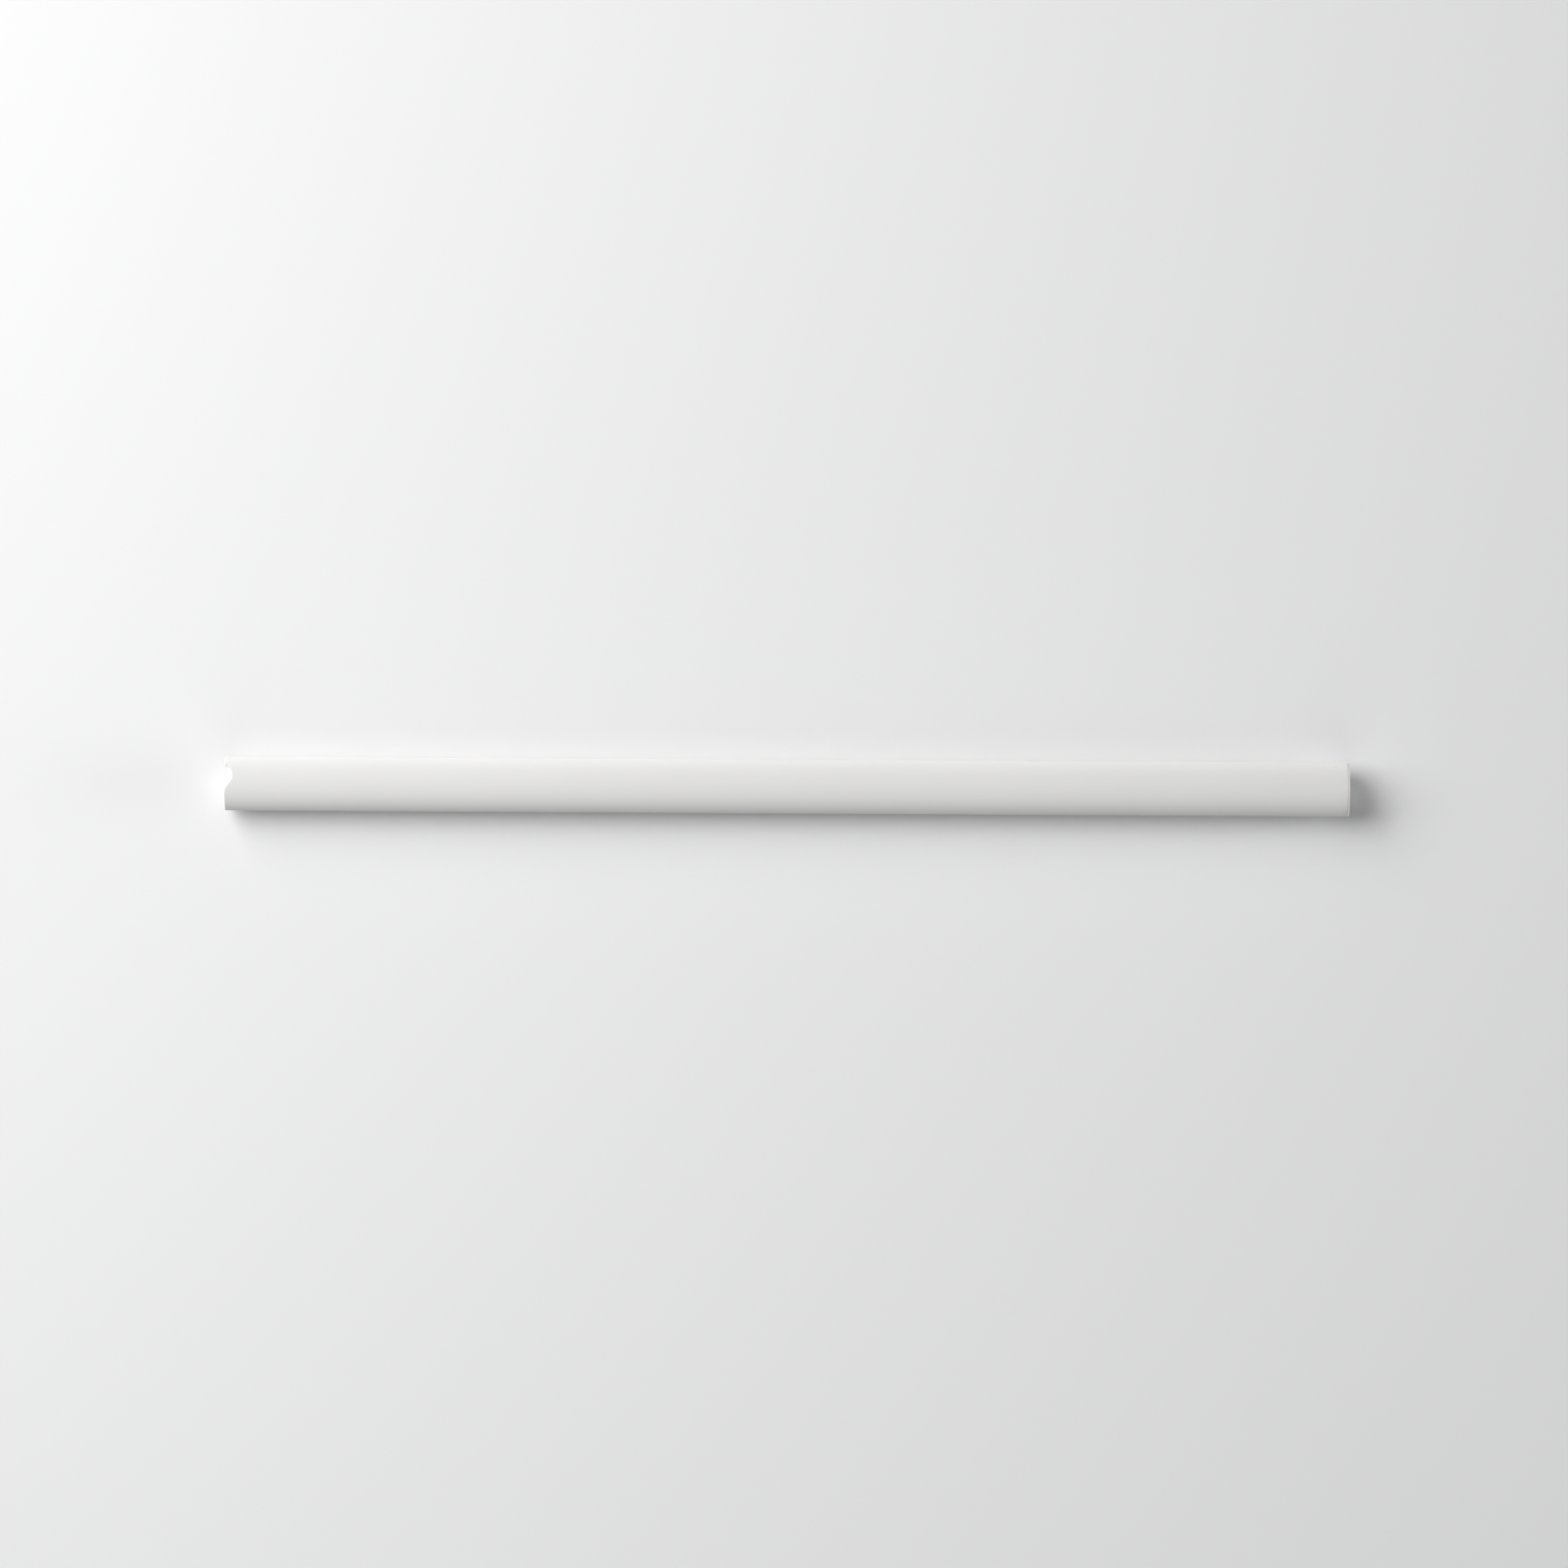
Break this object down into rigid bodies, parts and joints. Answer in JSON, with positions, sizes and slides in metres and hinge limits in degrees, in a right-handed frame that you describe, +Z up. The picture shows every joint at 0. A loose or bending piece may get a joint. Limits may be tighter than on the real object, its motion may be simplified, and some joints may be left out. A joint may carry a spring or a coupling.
{
  "type": "telescopic white cane",
  "caption": "Pushed-together telescopic white cane: a plain white tube with a thumb notch at its mouth and a flat butt cap, round nested sections that slide out and turn, and a rounded tip.",
  "frame": {"origin": "middle of the cane's length and width, on the plane that its underside rests on", "axes": "+X along the cane from its mouth and tip to its butt cap, +Z up, the thumb notch near the top, turned towards +Y"},
  "size_m": [0.313, 0.015, 0.015],
  "materials": {
    "white_coat": "satin white coat on thin aluminium tube",
    "white_plastic": "satin moulded white plastic",
    "white_nylon": "bright white nylon, lightly scuffed at the nose",
    "acetal": "natural off-white acetal, turned",
    "dark_acetal": "dark acetal, turned and split",
    "grey_rubber": "soft grey moulded rubber",
    "black_rubber": "black O-ring cord",
    "brass": "turned brass"
  },
  "bodies": {
    "handle": {"outer_tube": "white_coat", "butt_cap": "white_plastic", "butt_cap_o_ring": "black_rubber", "bumper": "grey_rubber", "outer_mouth_bush": "acetal"},
    "ring_1": {"section_1_friction_ring": "dark_acetal"},
    "section_1": {"section_1_tube": "white_coat", "section_1_guide_bush": "acetal", "section_1_mouth_bush": "acetal"},
    "ring_2": {"section_2_friction_ring": "dark_acetal"},
    "section_2": {"section_2_tube": "white_coat", "section_2_guide_bush": "acetal", "section_2_mouth_bush": "acetal"},
    "ring_3": {"section_3_friction_ring": "dark_acetal"},
    "section_3": {"section_3_tube": "white_coat", "section_3_guide_bush": "acetal", "section_3_mouth_bush": "acetal"},
    "ring_4": {"section_4_friction_ring": "dark_acetal"},
    "section_4": {"section_4_tube": "white_coat", "section_4_guide_bush": "acetal", "tip_insert": "brass", "tip": "white_nylon"}
  },
  "joints": [
    {"name": "section_1_slide", "type": "slide", "parent": "handle", "child": "ring_1", "axis": [-1, 0, 0], "range_m": [0, 0.2649]},
    {"name": "section_1_twist", "type": "hinge", "parent": "ring_1", "child": "section_1", "pos_m": [0, 0, 0.0075], "axis": [-1, 0, 0], "continuous": true},
    {"name": "section_2_slide", "type": "slide", "parent": "section_1", "child": "ring_2", "axis": [-1, 0, 0], "range_m": [0, 0.2413]},
    {"name": "section_2_twist", "type": "hinge", "parent": "ring_2", "child": "section_2", "pos_m": [0, 0, 0.0075], "axis": [-1, 0, 0], "continuous": true},
    {"name": "section_3_slide", "type": "slide", "parent": "section_2", "child": "ring_3", "axis": [-1, 0, 0], "range_m": [0, 0.2423]},
    {"name": "section_3_twist", "type": "hinge", "parent": "ring_3", "child": "section_3", "pos_m": [0, 0, 0.0075], "axis": [-1, 0, 0], "continuous": true},
    {"name": "section_4_slide", "type": "slide", "parent": "section_3", "child": "ring_4", "axis": [-1, 0, 0], "range_m": [0, 0.2433]},
    {"name": "section_4_twist", "type": "hinge", "parent": "ring_4", "child": "section_4", "pos_m": [0, 0, 0.0075], "axis": [-1, 0, 0], "continuous": true}
  ]
}
